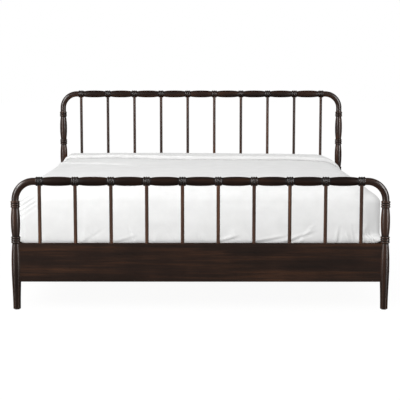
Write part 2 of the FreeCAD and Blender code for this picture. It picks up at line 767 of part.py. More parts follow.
def bed_cover():
    """The cover as a thin shell over the mattress, turned back at the head end, with its hem
    hanging inside the frame."""
    skin = SOFT_GAP + COVER_THICKNESS
    outside = bedding_form(skin, COVER_HEM, skin)
    fold = bedding_form(
        skin + TURN_BACK_SIDE, MATTRESS_TOP - TURN_BACK_DROP, skin + TURN_BACK_RISE
    )
    head_end = MATTRESS_LENGTH / 2 + skin
    band = block(
        -MATTRESS_WIDTH, MATTRESS_WIDTH, head_end - TURN_BACK_LENGTH, head_end,
        COVER_HEM, MATTRESS_TOP + MATTRESS_HEIGHT,
    )
    inside = bedding_form(SOFT_GAP, COVER_HEM, SOFT_GAP)
    return outside.fuse(fold.common(band)).cut(inside)


# All nodes


def all_nodes():
    """Every piece by node name; a list is a node of several separate solids."""
    nodes = {}
    for end in ENDS:
        for side_name, side in SIDES:
            nodes[f"{end.name}_{side_name}_post"] = post(end, side)
            nodes[f"{end.name}_{side_name}_shoulder"] = shoulder(end, side)
        nodes[f"{end.name}_top_rail"] = top_rail(end)
        nodes[f"{end.name}_panel"] = panel(end)
        for i, x in enumerate(spindle_places(), 1):
            nodes[f"{end.name}_spindle_{i:02d}"] = spindle(end, x)
    for side_name, side in SIDES:
        nodes[f"{side_name}_side_rail"] = side_rail(side)
        nodes[f"{side_name}_ledger"] = ledger(side)
        nodes[f"{side_name}_foundation"] = foundation(side)
    nodes["slats"] = slats()
    nodes["centre_beam"] = centre_beam()
    for leg_name, place in LEGS:
        y = place * LEG_OFFSET
        nodes[f"{leg_name}_centre_leg"] = centre_leg(place)
        nodes[f"{leg_name}_leveller_stud"] = leveller_stud(y)
        nodes[f"{leg_name}_leveller_pad"] = leveller_pad(y)
    corners = [(end, side) for end in ENDS for _, side in SIDES]
    nodes["hook_plates"] = [hook_plate(end, side) for end, side in corners]
    nodes["receiver_plates"] = [receiver_plate(end, side) for end, side in corners]
    nodes["post_glides"] = [post_glide(end, side) for end, side in corners]
    nodes["beam_brackets"] = [beam_bracket(end) for end in ENDS]
    nodes["leg_hanger_bolts"] = [hanger_bolt(place * LEG_OFFSET) for _, place in LEGS]
    nodes["leveller_inserts"] = [leveller_insert(place * LEG_OFFSET) for _, place in LEGS]
    nodes["plate_screws"] = [
        one for end, side in corners
        for one in screws_at(hook_screw_seats(end, side), HOOK_SCREW_LENGTH)
        + screws_at(receiver_screw_seats(end, side), RECEIVER_SCREW_LENGTH)
    ]
    nodes["ledger_screws"] = [
        one for _, side in SIDES for one in screws_at(ledger_screw_seats(side), LEDGER_SCREW_LENGTH)
    ]
    nodes["slat_screws"] = [
        one for _, side in SIDES for one in screws_at(slat_screw_seats(side), SLAT_SCREW_LENGTH)
    ]
    nodes["bracket_screws"] = [
        one for end in ENDS for one in screws_at(bracket_screw_seats(end), BRACKET_SCREW_LENGTH)
    ]
    nodes["mattress"] = bedding_form(0, MATTRESS_BOTTOM, 0)
    nodes["bed_cover"] = bed_cover()
    return nodes


def main():
    os.makedirs("parts", exist_ok=True)
    for name, shape in all_nodes().items():
        whole = Part.makeCompound(shape) if isinstance(shape, list) else shape
        whole.exportStep(f"parts/{name}.step")
        print(name, len(whole.Solids), whole.isValid(), round(whole.Volume))


main()
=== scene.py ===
"""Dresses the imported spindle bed: wood, steel and nylon on the rigid parts, and modelled bedding."""

import json
import math
import random

import bmesh
import bpy
import numpy as np
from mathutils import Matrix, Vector, noise


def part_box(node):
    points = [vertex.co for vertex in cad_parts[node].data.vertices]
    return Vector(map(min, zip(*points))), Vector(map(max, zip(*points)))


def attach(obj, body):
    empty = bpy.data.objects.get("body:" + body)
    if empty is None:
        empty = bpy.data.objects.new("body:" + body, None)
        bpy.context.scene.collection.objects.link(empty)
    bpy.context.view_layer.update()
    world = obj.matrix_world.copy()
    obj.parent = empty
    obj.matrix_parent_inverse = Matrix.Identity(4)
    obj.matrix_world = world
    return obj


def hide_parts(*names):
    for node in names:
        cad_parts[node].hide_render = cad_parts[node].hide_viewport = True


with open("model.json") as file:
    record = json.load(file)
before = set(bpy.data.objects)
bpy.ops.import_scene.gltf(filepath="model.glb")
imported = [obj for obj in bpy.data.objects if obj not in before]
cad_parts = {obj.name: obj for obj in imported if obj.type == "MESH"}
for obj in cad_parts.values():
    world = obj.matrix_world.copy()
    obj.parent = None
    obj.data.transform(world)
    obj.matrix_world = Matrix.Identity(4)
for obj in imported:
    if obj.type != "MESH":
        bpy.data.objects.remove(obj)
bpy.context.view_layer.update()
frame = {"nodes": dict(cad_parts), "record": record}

# Camera, fitted to the photo's spindles, rings and feet
CAMERA_LENS_MM = 99.1
CAMERA_SENSOR_MM = 36.0
CAMERA_PLACE = (0.012, -6.9044, 1.2682)
CAMERA_PITCH_DEG = 6.566
CAMERA_YAW_DEG = 0.138

# Surrounding light: its level, and how much it changes to the right, to the back and upward
STUDIO_LEVEL = 0.58
STUDIO_SLOPE = (-0.16, -0.37, 0.45)

# Key light, which gives no gloss: sizes in metres, and the azimuth from the foot end towards the right
KEY_AZIMUTH_DEG = -35.0
KEY_HEIGHT = 2.4
KEY_DISTANCE = 4.5
KEY_SIZE = (3.0, 1.5)
KEY_WATTS = 72.0
KEY_AIM = (0.0, -1.0, 0.55)

# Gloss lights on both sides, which give nothing but gloss, and the share of the power on each side
GLOSS_AZIMUTH_DEG = 50.0
GLOSS_DISTANCE = 6.0
LOW_STRIP_HEIGHT = 0.15
LOW_STRIP_SIZE = (1.2, 1.5)
LOW_STRIP_WATTS = 42.0
HIGH_STRIP_HEIGHT = 2.2
HIGH_STRIP_SIZE = (1.2, 2.6)
HIGH_STRIP_WATTS = 150.0
STRIP_SHARE = {"left": 1.0, "right": 1.4}
BEND_LIGHT_TURN = 1.35
BEND_LIGHT_HEIGHT = 4.3
BEND_LIGHT_SIZE = (2.2, 2.2)
BEND_LIGHT_WATTS = 220.0
BEND_LIGHT_SHARE = {"left": 1.6, "right": 0.7}

# Floor: half its width in metres, the grey that takes shadows, and the glow that makes it white
FLOOR_REACH = 40.0
FLOOR_GREY = 0.08
FLOOR_GLOW = 0.94

# Wood, in metres: its bends, as built, and the heights between which painted shade darkens the legs to a
# share
BEND_RADIUS = 0.100
LEG_PAINTED_SHADE_BELOW = 0.160
LEG_FULL_TONE = 0.320
LEG_PAINTED_SHADE_SHARE = 0.60

# Stain: its colours, and its tone and gloss on each kind of turning
STAIN_DARK = (0.012, 0.0075, 0.0058)
STAIN_MIDDLE = (0.025, 0.0130, 0.0090)
STAIN_LIGHT = (0.056, 0.0245, 0.0130)
STAIN_RUBBED = (0.085, 0.040, 0.021)
POST_TONE = 1.6
POST_GLOSS = 0.4
BEND_TONE = 1.3
# Painted light: the head rail gets a lighter tone than the foot rail, though both have one stain
RAIL_TONE_AND_PAINTED_LIGHT = {"foot": 0.6, "head": 0.9}
SPINDLE_TONE = {"foot": 2.7, "head": 2.0}
SPINDLE_GLOSS = {"foot": 0.1, "head": 0.3}

# Wood pattern: its scales along and across the grain, and each part's share of the figure
STREAK_SCALES = (2.2, 70.0)
STREAK_SHARE = 0.5
BAND_SCALES = (0.7, 13.0)
BAND_SHARE = 0.3
BLOTCH_SCALE = (4.7, 4.7, 3.1)
BLOTCH_SHARE = 0.2
PORE_SCALES = (24.0, 900.0)

# Reach of the finish, glaze and painted shade into hollows, and of the wear over crests, in metres, and
# the rays that look for them
HOLLOW_REACH = 0.012
CREST_REACH = 0.010
NEARNESS_RAYS = 6

# Fabrics: their colours, and the scales of their weaves, with threads 0.31 / scale metres apart
COVER_COLOUR = (0.82, 0.82, 0.815)
COVER_WEAVE = 420.0
TICKING_COLOUR = (0.78, 0.77, 0.74)
TICKING_WEAVE = 300.0
FOUNDATION_COLOUR = (0.72, 0.71, 0.68)
FOUNDATION_WEAVE = 260.0

# Bedding form, as built, in metres
EDGE_RADIUS = 0.140
EDGE_DROP = 0.096
SLUMP = 0.028
SLUMP_DROP = 0.108
SLUMP_RUN = 0.050
CROWN_RISE = 0.012
CROWN_TO = 0.42
BOTTOM_DRAW = 0.010
BOTTOM_RISE = 0.060
FOUNDATION_CORNER = 0.095
COVER_SKIN = 0.0043
TURN_BACK_DROP = 0.190

# Bedding form, softened: where crown and slump begin, and the corners' power, 2 being a round corner
CROWN_FROM = 0.05
SLUMP_FROM = 0.45
CORNER_POWER = 2.2

# The cover's corners: full ones, the heights between which the right one softens, and the left edge
FULL_CORNER_POWER = 9.0
CORNER_LOW = 0.355
CORNER_HIGH = 0.400
LEFT_EDGE_RADIUS = 0.070

# The cover's cloth, in metres: its steps across, along and up
COVER_STEPS = (0.006, 0.012, 0.006)

# The cover's walls, in metres: the drawn-in hem, and the heights between which they belly out and in
HEM_DRAW = 0.013
RAIL_COVER = 0.012
DRAW_TOP = 0.372
BELLY_LOW = 0.395
BELLY_HIGH = 0.500
END_DRAW_LOW = 0.520
END_DRAW_HIGH = 0.615
SIDE_FADE_LOW = 0.560
SIDE_FADE_HIGH = 0.680
END_FULLNESS = 0.004
SIDE_FULLNESS = 0.021

# Most that the cover may rise at its ends, sides and top, and sink in its walls and tucks, in metres
END_ROOM = 0.0042
SIDE_ROOM = 0.026
TOP_ROOM = 0.012
HOLLOW_ROOM = 0.0038
HOLLOW_TOP = 0.430
TUCK_ROOM = 0.0095

# The way out: its rise where walls become the top, and its square across where ends become sides
TOP_TURN = (0.3, 0.9)
SIDE_TURN = (0.25, 0.9)

# Faint waves of the cover's walls and top: heights in metres, swings a metre, and a shift of the noise
WALL_WAVE = 0.0015
WALL_SWINGS = (4.0, 4.0, 6.0)
TOP_WAVE = 0.002
TOP_SWINGS = (2.2, 3.4, 2.2)
TOP_SHIFT = 7.0

# The turned-back end: its slanting, wavy front edge, its rolled front and its puffed top
FOLD_SETBACK = 0.27
FOLD_SETBACK_RUN = (-0.1, 1.1)
FOLD_WAVE = 0.012
FOLD_SWINGS = 2.3
FOLD_SHIFT = 3.0
FOLD_UNDER = 0.05
ROLL_ROWS = 9
FOLD_FULLNESS = 1.18
FOLD_LEAN = 0.35
PUFF_POWER = 2.5
PUFF_WAVE = 0.18
PUFF_SWINGS = (3.0, 14.0, 3.0)
PUFF_SHIFT = 5.0

# Pads and their piping, in metres
PAD_STEP = 0.032
PAD_EASE = 0.010
PIPING_RADIUS = 0.0045
PIPING_SIDES = 8
PIPING_STEP = 0.016

# A crease: shares of its length in which it starts and ends, and the hollow beside its ridge
CREASE_START = (-0.15, 0.2)
CREASE_END = (0.5, 1.1)
CREASE_HOLLOW = 0.55
CREASE_ASIDE = 1.6

# Hollows of the tucked foot end that the photo shows, in metres: (place across, lean, height, raise)
FRONT_TUCKS = (
    (-0.640, 0.130, 0.090, -0.002),
    (-0.470, 0.150, 0.045, -0.003),
    (0.080, 0.150, 0.042, -0.005),
    (0.270, 0.230, 0.042, -0.005),
    (0.450, 0.190, 0.070, -0.006),
    (0.745, 0.012, 0.100, -0.009),
    (0.825, -0.030, 0.080, -0.010),
    (0.845, -0.025, 0.110, -0.008),
    (0.900, -0.015, 0.080, -0.009),
    (0.945, -0.050, 0.085, -0.012),
    (0.965, -0.030, 0.070, -0.012),
)
TUCK_BASE = 0.350
TUCK_WIDTH = 0.008

# Ranges of the seeded creases all round the hem, in metres; the slant is a share of the height
CREASE_SEED = 11
HEM_SPACING = (0.09, 0.22)
HEM_HEIGHT = (0.06, 0.15)
HEM_SLANT = (-0.9, 0.9)
HEM_WIDTH = (0.010, 0.020)
HEM_RAISE = (0.0015, 0.004)

# Slanting creases of the left front corner, in metres
CORNER_CREASES = 5
CORNER_CREASE_FROM = 0.480
CORNER_CREASE_STEP = 0.027
CORNER_CREASE_ACROSS = 0.10
CORNER_CREASE_UP = 0.07
CORNER_CREASE_RAISE = 0.010

# Ripples of the top, in metres: the long one that the photo shows, and ranges of the seeded others
LONG_RIPPLE_START = (-0.98, 0.40)
LONG_RIPPLE_END = (-0.30, -0.03)
LONG_RIPPLE_WIDTH = 0.016
LONG_RIPPLE_RAISE = 0.014
TOP_RIPPLES = 16
RIPPLE_X = (-0.95, 0.1)
RIPPLE_Y = (-0.85, 0.44)
RIPPLE_ACROSS = (0.4, 1.0)
RIPPLE_ALONG = (-0.06, 0.06)
RIPPLE_WIDTH = (0.016, 0.030)
RIPPLE_RAISE = (0.0012, 0.0032)

# Axes, words in the built parts' names, the spindles at each end, and the faces of a box
X, Y, Z = range(3)
SIDES = ("left", "right")
ENDS = ("foot", "head")
SPINDLES = 10
ALL_FACES = ("top", "bottom", "left", "right", "front", "back")

# A distance too small to see, in metres
TINY = 1e-5


def link(thing):
    bpy.context.scene.collection.objects.link(thing)
    return thing


def mesh_object(name, vertices, faces):
    mesh = bpy.data.meshes.new(name)
    mesh.from_pydata([tuple(v) for v in vertices], [], faces)
    mesh.update()
    return link(bpy.data.objects.new(name, mesh))


def smooth_step(low, high, value):
    share = np.clip((value - low) / (high - low), 0.0, 1.0)
    return share * share * (3 - 2 * share)


def wander(points, per_metre, offset=0.0):
    """Smooth noise at each point, from -1 to 1, with so many swings a metre along each axis."""
    scaled = points * np.asarray(per_metre) + offset
    return np.array([noise.noise(Vector(p)) for p in scaled])


# Materials


class Shader:
    """Short calls that add nodes to one Principled material."""

    def __init__(self, name):
        self.material = bpy.data.materials.new(name)
        self.material.use_nodes = True
        self.tree = self.material.node_tree
        self.principled = self.tree.nodes["Principled BSDF"]
        self.place = self.tree.nodes.new("ShaderNodeTexCoord").outputs["Object"]

    def node(self, kind, **links):
        """A new node with some of its inputs linked or set."""
        made = self.tree.nodes.new(kind)
        for name, value in links.items():
            self.give(made.inputs[name.replace("_", " ")], value)
        return made

    def give(self, socket, value):
        if isinstance(value, bpy.types.NodeSocket):
            self.tree.links.new(value, socket)
        else:
            socket.default_value = value

    def set(self, **sockets):
        for name, value in sockets.items():
            self.give(self.principled.inputs[name.replace("_", " ")], value)

    def scaled(self, scale):
        """The pattern's coordinates, stretched by a factor along each axis."""
        return self.node("ShaderNodeMapping", Vector=self.place, Scale=scale).outputs["Vector"]

    def noise(self, scale, detail, distortion=0.0):
        return self.node(
            "ShaderNodeTexNoise",
            Vector=self.scaled(scale),
            Scale=1.0,
            Detail=detail,
            Roughness=0.55,
            Distortion=distortion,
        ).outputs["Fac"]

    def wave(self, scale, direction, distortion):
        made = self.node(
            "ShaderNodeTexWave", Vector=self.place, Scale=scale, Distortion=distortion
        )
        made.bands_direction = direction
        return made.outputs["Fac"]

    def ramp(self, value, stops):
        """A colour for each (position, colour) stop."""
        made = self.node("ShaderNodeValToRGB", Fac=value)
        points = made.color_ramp.elements
        while len(points) < len(stops):
            points.new(0.5)
        for point, (position, colour) in zip(points, stops):
            point.position = position
            point.color = (*colour, 1.0)
        return made.outputs["Color"]

    def span(self, value, given, wanted):
        """The value, moved from the given range to the wanted one."""
        made = self.node("ShaderNodeMapRange", Value=value)
        for kind, ends in (("From", given), ("To", wanted)):
            for limit, number in zip(("Min", "Max"), ends):
                made.inputs[f"{kind} {limit}"].default_value = number
        return made.outputs["Result"]

    def math(self, operation, first, second=0.0):
        made = self.node("ShaderNodeMath")
        made.operation = operation
        self.give(made.inputs[0], first)
        self.give(made.inputs[1], second)
        return made.outputs["Value"]

    def mix(self, share, first, second, blend="MIX"):
        made = self.node("ShaderNodeMix")
        made.data_type = "RGBA"
        made.blend_type = blend
        for name, value in (("Factor_Float", share), ("A_Color", first), ("B_Color", second)):
            socket = next(s for s in made.inputs if s.identifier == name)
            self.give(socket, (*value, 1.0) if isinstance(value, tuple) else value)
        return next(s for s in made.outputs if s.identifier == "Result_Color")

    def nearness(self, distance, inside):
        """From 0 in a hollow, or on a crest when looking inside, to 1 on open ground."""
        made = self.node("ShaderNodeAmbientOcclusion", Distance=distance)
        made.samples = NEARNESS_RAYS
        made.inside = inside
        made.only_local = True
        return made.outputs["AO"]

    def bump(self, height, strength, distance):
        made = self.node("ShaderNodeBump", Height=height, Strength=strength, Distance=distance)
        self.set(Normal=made.outputs["Normal"])

    def bend(self, centre_x, centre_z, radius):
        """Makes the pattern follow a quarter bend: across it, through it, and along its arc."""
        parts = self.node("ShaderNodeSeparateXYZ", Vector=self.place).outputs
        right = self.math("SUBTRACT", self.math("ABSOLUTE", parts["X"]), centre_x)
        up = self.math("SUBTRACT", parts["Z"], centre_z)
        away = self.math(
            "SQRT", self.math("ADD", self.math("POWER", right, 2.0), self.math("POWER", up, 2.0))
        )
        arc = self.math("MULTIPLY", self.math("ARCTAN2", up, right), radius)
        self.place = self.node("ShaderNodeCombineXYZ", X=away, Y=parts["Y"], Z=arc).outputs["Vector"]


def along(axis, long_scale, cross_scale):
    """Pattern scales that stretch it along one axis."""
    return tuple(long_scale if i == axis else cross_scale for i in range(3))


def toned(colour, tone):
    return tuple(channel * tone for channel in colour)


def wood_figure(shader, axis):
    """Streaks along the grain, broad blotches, and a figure that mixes both with bands."""
    streaks = shader.noise(along(axis, *STREAK_SCALES), detail=6.0, distortion=0.4)
    bands = shader.noise(along(axis, *BAND_SCALES), detail=3.0)
    blotches = shader.noise(BLOTCH_SCALE, detail=2.0)
    figure = shader.math(
        "ADD",
        shader.math("MULTIPLY", streaks, STREAK_SHARE),
        shader.math(
            "ADD",
            shader.math("MULTIPLY", bands, BAND_SHARE),
            shader.math("MULTIPLY", blotches, BLOTCH_SHARE),
        ),
    )
    return streaks, blotches, figure


def dark_wood(name, axis, tone=1.0, bend=None, gloss=0.5, painted_leg_shade=False):
    """Espresso-stained hardwood with its grain along one axis, under a rubbed satin finish, with glaze
    and painted shade in its hollows, and painted shade on the legs towards the floor if asked.
    """
    shader = Shader(name)
    if bend:
        shader.bend(*bend)
    streaks, blotches, figure = wood_figure(shader, axis)
    pores = shader.noise(along(axis, *PORE_SCALES), detail=2.0)
    stain = shader.ramp(figure, (
        (0.36, toned(STAIN_DARK, tone)),
        (0.50, toned(STAIN_MIDDLE, tone)),
        (0.62, toned(STAIN_LIGHT, tone)),
    ))
    pore_shade = shader.ramp(pores, ((0.30, (0.5, 0.5, 0.5)), (0.44, (1.0, 1.0, 1.0))))
    hollows = shader.nearness(HOLLOW_REACH, inside=False)
    crests = shader.nearness(CREST_REACH, inside=True)
    # Glaze and painted shade: the stain goes to black where the occlusion finds a hollow, as in the
    # rings' valleys
    glaze_and_shade = shader.span(hollows, (0.82, 1.0), (0.0, 1.0))
    wood = shader.mix(1.0, stain, pore_shade, "MULTIPLY")
    wood = shader.mix(1.0, wood, glaze_and_shade, "MULTIPLY")
    rubbed = shader.math("MULTIPLY", shader.span(crests, (0.92, 0.70), (0.0, 0.12)), blotches)
    wood = shader.mix(rubbed, wood, toned(STAIN_RUBBED, tone))
    # Painted shade: the posts' colour darkens towards the floor, below the legs' full tone
    if painted_leg_shade:
        height = shader.node("ShaderNodeSeparateXYZ", Vector=shader.place).outputs["Z"]
        painted_shade = shader.span(height, (LEG_PAINTED_SHADE_BELOW, LEG_FULL_TONE), (LEG_PAINTED_SHADE_SHARE, 1.0))
        wood = shader.mix(1.0, wood, painted_shade, "MULTIPLY")
    satin = shader.span(streaks, (0.3, 0.7), (0.33, 0.26))
    dull = shader.span(hollows, (0.6, 0.97), (1.0, 0.2))
    shader.set(
        Base_Color=wood,
        Roughness=shader.math("MAXIMUM", satin, dull),
        Specular_IOR_Level=gloss,
    )
    shader.bump(pores, 0.10, 0.0005)
    return shader.material


def pale_wood(name, axis):
    """Unfinished pale softwood for the hidden base."""
    shader = Shader(name)
    rings = shader.noise(along(axis, 1.2, 38.0), detail=5.0, distortion=0.8)
    fibres = shader.noise(along(axis, 14.0, 520.0), detail=3.0)
    tone = shader.ramp(
        rings, ((0.32, (0.40, 0.26, 0.13)), (0.5, (0.58, 0.41, 0.23)), (0.7, (0.68, 0.52, 0.33)))
    )
    shade = shader.ramp(fibres, ((0.3, (0.82, 0.8, 0.78)), (0.6, (1.0, 1.0, 1.0))))
    shader.set(
        Base_Color=shader.mix(1.0, tone, shade, "MULTIPLY"),
        Roughness=shader.span(fibres, (0.3, 0.7), (0.62, 0.78)),
    )
    shader.bump(fibres, 0.18, 0.0005)
    return shader.material


def zinc_steel():
    """Bright zinc-plated steel with faint rolling marks and dull patches."""
    shader = Shader("zinc_steel")
    marks = shader.noise((900.0, 900.0, 60.0), detail=3.0)
    patches = shader.noise((45.0, 45.0, 45.0), detail=3.0)
    shader.set(
        Base_Color=shader.ramp(patches, ((0.35, (0.50, 0.51, 0.53)), (0.65, (0.66, 0.67, 0.68)))),
        Roughness=shader.span(patches, (0.3, 0.7), (0.28, 0.46)),
        Metallic=1.0,
    )
    shader.bump(marks, 0.08, 0.0002)
    return shader.material


def black_nylon():
    """Moulded black nylon with a fine matt texture."""
    shader = Shader("black_nylon")
    grain = shader.noise((1400.0, 1400.0, 1400.0), detail=2.0)
    scuffs = shader.noise((60.0, 60.0, 60.0), detail=4.0)
    shader.set(
        Base_Color=shader.ramp(
            scuffs, ((0.4, (0.012, 0.012, 0.013)), (0.72, (0.035, 0.035, 0.036)))
        ),
        Roughness=shader.span(scuffs, (0.3, 0.7), (0.48, 0.66)),
    )
    shader.bump(grain, 0.15, 0.0002)
    return shader.material


def cotton(name, colour, weave_scale):
    """Plain woven cotton with a fine weave, slubs and a soft sheen."""
    shader = Shader(name)
    threads = [shader.wave(weave_scale, direction, distortion=0.6) for direction in "XYZ"]
    weave = shader.math("ADD", shader.math("ADD", threads[0], threads[1]), threads[2])
    slubs = shader.noise((14.0, 14.0, 14.0), detail=5.0)
    shader.set(
        Base_Color=shader.ramp(slubs, ((0.35, toned(colour, 0.97)), (0.65, toned(colour, 1.02)))),
        Roughness=shader.span(slubs, (0.3, 0.7), (0.82, 0.92)),
        Sheen_Weight=0.12,
        Sheen_Roughness=0.5,
        Specular_IOR_Level=0.2,
    )
    shader.bump(weave, 0.04, 0.0002)
    return shader.material


def paint(thing, material):
    """Gives an object one material all over."""
    slots = thing.data.materials
    slots.clear()
    slots.append(material)


def bend_of(end):
    """The centre and radius of the bends at one end of the bed."""
    low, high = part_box(f"{end}_top_rail")
    post_low, post_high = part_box(f"{end}_right_post")
    post_x = (post_low.x + post_high.x) / 2
    return post_x - BEND_RADIUS, (low.z + high.z) / 2 - BEND_RADIUS, BEND_RADIUS


def paint_rigid_parts():
    """Gives each rigid part its slot's material; woods go by the ends of the parts' names."""
    woods = {
        "_post": dark_wood("dark_wood_post", Z, POST_TONE, gloss=POST_GLOSS, painted_leg_shade=True),
        "_panel": dark_wood("dark_wood_panel", X),
        "_side_rail": dark_wood("dark_wood_side", Y),
        "_ledger": pale_wood("pale_wood_long", Y),
        "_leg": pale_wood("pale_wood_upright", Z),
        "_beam": pale_wood("pale_wood_beam", Y),
        "slats": pale_wood("pale_wood_slat", X),
    }
    for end in ENDS:
        woods[f"{end}_top_rail"] = dark_wood(f"dark_wood_{end}_rail", X, RAIL_TONE_AND_PAINTED_LIGHT[end])
        bent = dark_wood(f"dark_wood_{end}_bend", Z, BEND_TONE, bend_of(end))
        woods.update({f"{end}_{side}_shoulder": bent for side in SIDES})
        turned = dark_wood(f"dark_wood_{end}_spindle", Z, SPINDLE_TONE[end], gloss=SPINDLE_GLOSS[end])
        woods.update({f"{end}_spindle_{i:02d}": turned for i in range(1, SPINDLES + 1)})
    plain = {"zinc_steel": zinc_steel(), "black_nylon": black_nylon()}
    for row in frame["record"]["subparts"]:
        node, slot = row["node"], row["material_slot"]
        if slot in plain:
            paint(frame["nodes"][node], plain[slot])
        for ending, material in woods.items():
            if slot.endswith("wood") and node.endswith(ending):
                paint(frame["nodes"][node], material)


# Bedding forms


def box_mesh(xs, ys, zs, sides):
    """Points and quads on the named sides of a box, one grid a side, welded along the edges."""
    grids = {
        "top": [[(x, y, zs[-1]) for y in ys] for x in xs],
        "bottom": [[(x, y, zs[0]) for y in ys] for x in xs],
        "left": [[(xs[0], y, z) for z in zs] for y in ys],
        "right": [[(xs[-1], y, z) for z in zs] for y in ys],
        "front": [[(x, ys[0], z) for z in zs] for x in xs],
        "back": [[(x, ys[-1], z) for z in zs] for x in xs],
    }
    form = bmesh.new()
    for side in sides:
        rows = [[form.verts.new(p) for p in line] for line in grids[side]]
        for near, far in zip(rows, rows[1:]):
            for i in range(len(near) - 1):
                form.faces.new((near[i], far[i], far[i + 1], near[i + 1]))
    bmesh.ops.remove_doubles(form, verts=form.verts, dist=TINY)
    bmesh.ops.recalc_face_normals(form, faces=form.faces)
    form.verts.index_update()
    points = np.array([v.co for v in form.verts])
    faces = [[v.index for v in face.verts] for face in form.faces]
    form.free()
    return points, faces


def joined(*meshes):
    """Several (points, faces) meshes as one."""
    points, faces = [], []
    for more_points, more_faces in meshes:
        first = len(points)
        points += list(more_points)
        faces += [[i + first for i in face] for face in more_faces]
    return np.array(points), faces


def steps(low, high, step):
    return np.linspace(low, high, max(2, round((high - low) / step)) + 1)


def eased_steps(low, high, step):
    """Even steps, with closer ones at both ends where the edges are rounded."""
    near = PAD_EASE / 3
    return np.r_[low, low + near, steps(low + PAD_EASE, high - PAD_EASE, step), high - near, high]


def eased(points, low, high):
    """The points of a box, moved so that all its edges are rounded."""
    core = np.clip(points, low + PAD_EASE, high - PAD_EASE)
    away = points - core
    return core + PAD_EASE * away / np.linalg.norm(away, axis=1, keepdims=True)


def rounded_plan(points, half, radius, power):
    """The points of a box about the bed's middle, moved so that its upright edges are rounded."""
    core = np.clip(points[:, :2], radius - half, half - radius)
    away = points[:, :2] - core
    length = (np.abs(away) ** power).sum(axis=1) ** (1 / power)
    share = np.abs(away).max(axis=1) / np.maximum(length, TINY)
    return np.column_stack((core + away * share[:, None], points[:, 2]))


def outline(low, high, z):
    """A closed loop of points round the sides of a box."""
    xs = steps(low[0], high[0], PIPING_STEP)
    ys = steps(low[1], high[1], PIPING_STEP)
    loop = [(x, ys[0], z) for x in xs[:-1]] + [(xs[-1], y, z) for y in ys[:-1]]
    loop += [(x, ys[-1], z) for x in xs[:0:-1]] + [(xs[0], y, z) for y in ys[:0:-1]]
    return np.array(loop)


def piping(loop):
    """Points and quads of a round sewn cord along a closed loop."""
    ahead = np.roll(loop, -1, axis=0) - np.roll(loop, 1, axis=0)
    up = np.array((0.0, 0.0, 1.0))
    side = np.cross(ahead, up)
    side /= np.linalg.norm(side, axis=1, keepdims=True)
    turns = [2 * math.pi * i / PIPING_SIDES for i in range(PIPING_SIDES)]
    rings = [loop + PIPING_RADIUS * (math.cos(t) * side + math.sin(t) * up) for t in turns]
    count = len(loop)
    faces = [
        (r * count + i, r * count + j, s * count + j, s * count + i)
        for r, s in zip(range(PIPING_SIDES), [*range(1, PIPING_SIDES), 0])
        for i, j in zip(range(count), [*range(1, count), 0])
    ]
    return np.concatenate(rings), faces


class SoftForm:
    """The mattress's soft-edged, crowned form, grown outward by a margin."""

    def __init__(self, margin, left_radius=EDGE_RADIUS, full_corner_power=CORNER_POWER):
        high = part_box("mattress")[1]
        self.half = np.array((high.x + margin, high.y + margin))
        self.top = high.z - CROWN_RISE + margin
        self.left_radius = left_radius
        self.full_corner_power = full_corner_power

    def surface(self, points):
        """Where points on the top and sides of the plain box lie on the form, and the way out there."""
        size = np.full(points.shape, EDGE_RADIUS)
        size[points[:, 0] < 0, 0] = self.left_radius
        size[:, 2] = EDGE_DROP
        core = points.copy()
        core[:, :2] = np.clip(points[:, :2], size[:, :2] - self.half, self.half - size[:, :2])
        core[:, 2] = np.minimum(points[:, 2], self.top - EDGE_DROP)
        out = (points - core) / size
        # The front left corner is full all the way up, and the front right one only low down
        low = 1 - smooth_step(CORNER_LOW, CORNER_HIGH, points[:, 2:])
        fullness = np.where(points[:, :1] < 0, 1.0, low) * (points[:, 1:2] < 0)
        power = CORNER_POWER + (self.full_corner_power - CORNER_POWER) * fullness
        plan = (np.abs(out[:, :2]) ** power).sum(axis=1, keepdims=True) ** (1 / power)
        turning = (np.abs(out[:, :2]) / np.maximum(plan, TINY)) ** (power - 2)
        out /= np.hypot(plan, out[:, 2:])
        place = core + out * size
        inset = self.half - np.abs(place[:, :2])
        crown = CROWN_RISE * smooth_step(CROWN_FROM, CROWN_TO, inset).prod(axis=1)
        sunk = smooth_step(self.top - SLUMP_DROP, self.top - SLUMP_DROP + SLUMP_RUN, place[:, 2])
        place[:, 0] -= SLUMP * sunk * smooth_step(SLUMP_FROM, self.half[0], place[:, 0])
        place[:, 2] += crown * np.clip(out[:, 2], 0, 1)
        normal = out / size
        normal[:, :2] *= turning
        return place, normal / np.linalg.norm(normal, axis=1, keepdims=True)

    def hem_place(self, points):
        """How far along the box's outline each point is, from the middle of the foot end."""
        x, y = points[:, 0], points[:, 1]
        half_x, half_y = self.half
        side = np.sign(x) * (half_x + np.minimum(y + half_y, 2 * half_y))
        head = np.sign(x) * (2 * half_x + 2 * half_y - np.abs(x))
        place = np.where(np.abs(x) > half_x - TINY, side, x)
        return np.where((y > half_y - TINY) & (np.abs(x) < half_x - TINY), head, place)


# The cover


def crease(across, up, start, end, width, height):
    """A soft crease from start to end: a ridge with a hollow beside it, fading at its ends."""
    run = np.subtract(end, start)
    length = math.hypot(*run)
    unit = run / length
    ahead = (across - start[0]) * unit[0] + (up - start[1]) * unit[1]
    aside = ((up - start[1]) * unit[0] - (across - start[0]) * unit[1]) / width
    share = ahead / length
    fade = smooth_step(*CREASE_START, share) * (1 - smooth_step(*CREASE_END, share))
    hollow = CREASE_HOLLOW * np.exp(-((aside - CREASE_ASIDE) ** 2))
    return height * fade * (np.exp(-(aside**2)) - hollow)


